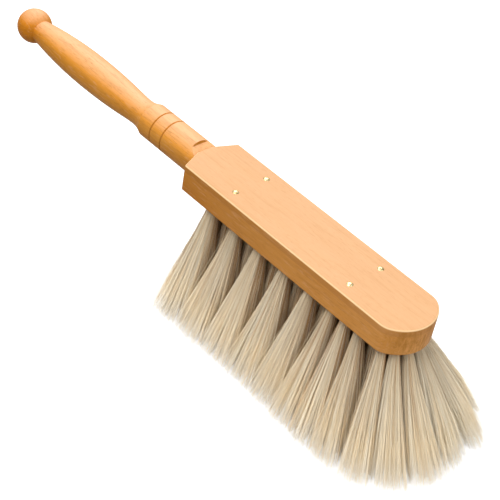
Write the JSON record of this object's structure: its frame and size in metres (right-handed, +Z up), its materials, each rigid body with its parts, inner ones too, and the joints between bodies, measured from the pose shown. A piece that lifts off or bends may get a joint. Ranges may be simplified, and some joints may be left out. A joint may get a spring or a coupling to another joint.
{
  "type": "hand broom",
  "caption": "Wooden hand broom with a turned ball-end handle, a pinned cover board and flared tufts of soft light hair, for sweeping floors and furniture.",
  "frame": {"origin": "on the floor under the middle of the broom's length and width, where the hair tips stand", "axes": "+X along the broom towards the head end, with the handle towards -X; +Y across; +Z up"},
  "size_m": [0.4434, 0.108, 0.0927],
  "materials": {
    "oiled_beech": "oiled, satin",
    "pin_brass": "polished",
    "wire_brass": "drawn",
    "light_hair": "soft natural hair"
  },
  "bodies": {
    "root": {"brush_body": "oiled_beech", "cover_board": "oiled_beech", "cover_pin_1": "pin_brass", "cover_pin_2": "pin_brass", "cover_pin_3": "pin_brass", "cover_pin_4": "pin_brass", "inner_drawing_wire": "wire_brass", "outer_drawing_wire": "wire_brass", "tuft_inner_end_1": "light_hair", "tuft_inner_left_1": "light_hair", "tuft_inner_left_2": "light_hair", "tuft_inner_left_3": "light_hair", "tuft_inner_left_4": "light_hair", "tuft_inner_left_5": "light_hair", "tuft_inner_left_6": "light_hair", "tuft_inner_left_7": "light_hair", "tuft_inner_left_8": "light_hair", "tuft_inner_left_9": "light_hair", "tuft_inner_right_1": "light_hair", "tuft_inner_right_2": "light_hair", "tuft_inner_right_3": "light_hair", "tuft_inner_right_4": "light_hair", "tuft_inner_right_5": "light_hair", "tuft_inner_right_6": "light_hair", "tuft_inner_right_7": "light_hair", "tuft_inner_right_8": "light_hair", "tuft_inner_right_9": "light_hair", "tuft_outer_end_1": "light_hair", "tuft_outer_end_2": "light_hair", "tuft_outer_end_3": "light_hair", "tuft_outer_end_4": "light_hair", "tuft_outer_end_5": "light_hair", "tuft_outer_end_6": "light_hair", "tuft_outer_left_1": "light_hair", "tuft_outer_left_2": "light_hair", "tuft_outer_left_3": "light_hair", "tuft_outer_left_4": "light_hair", "tuft_outer_left_5": "light_hair", "tuft_outer_left_6": "light_hair", "tuft_outer_left_7": "light_hair", "tuft_outer_left_8": "light_hair", "tuft_outer_right_1": "light_hair", "tuft_outer_right_2": "light_hair", "tuft_outer_right_3": "light_hair", "tuft_outer_right_4": "light_hair", "tuft_outer_right_5": "light_hair", "tuft_outer_right_6": "light_hair", "tuft_outer_right_7": "light_hair", "tuft_outer_right_8": "light_hair"}
  },
  "joints": []
}
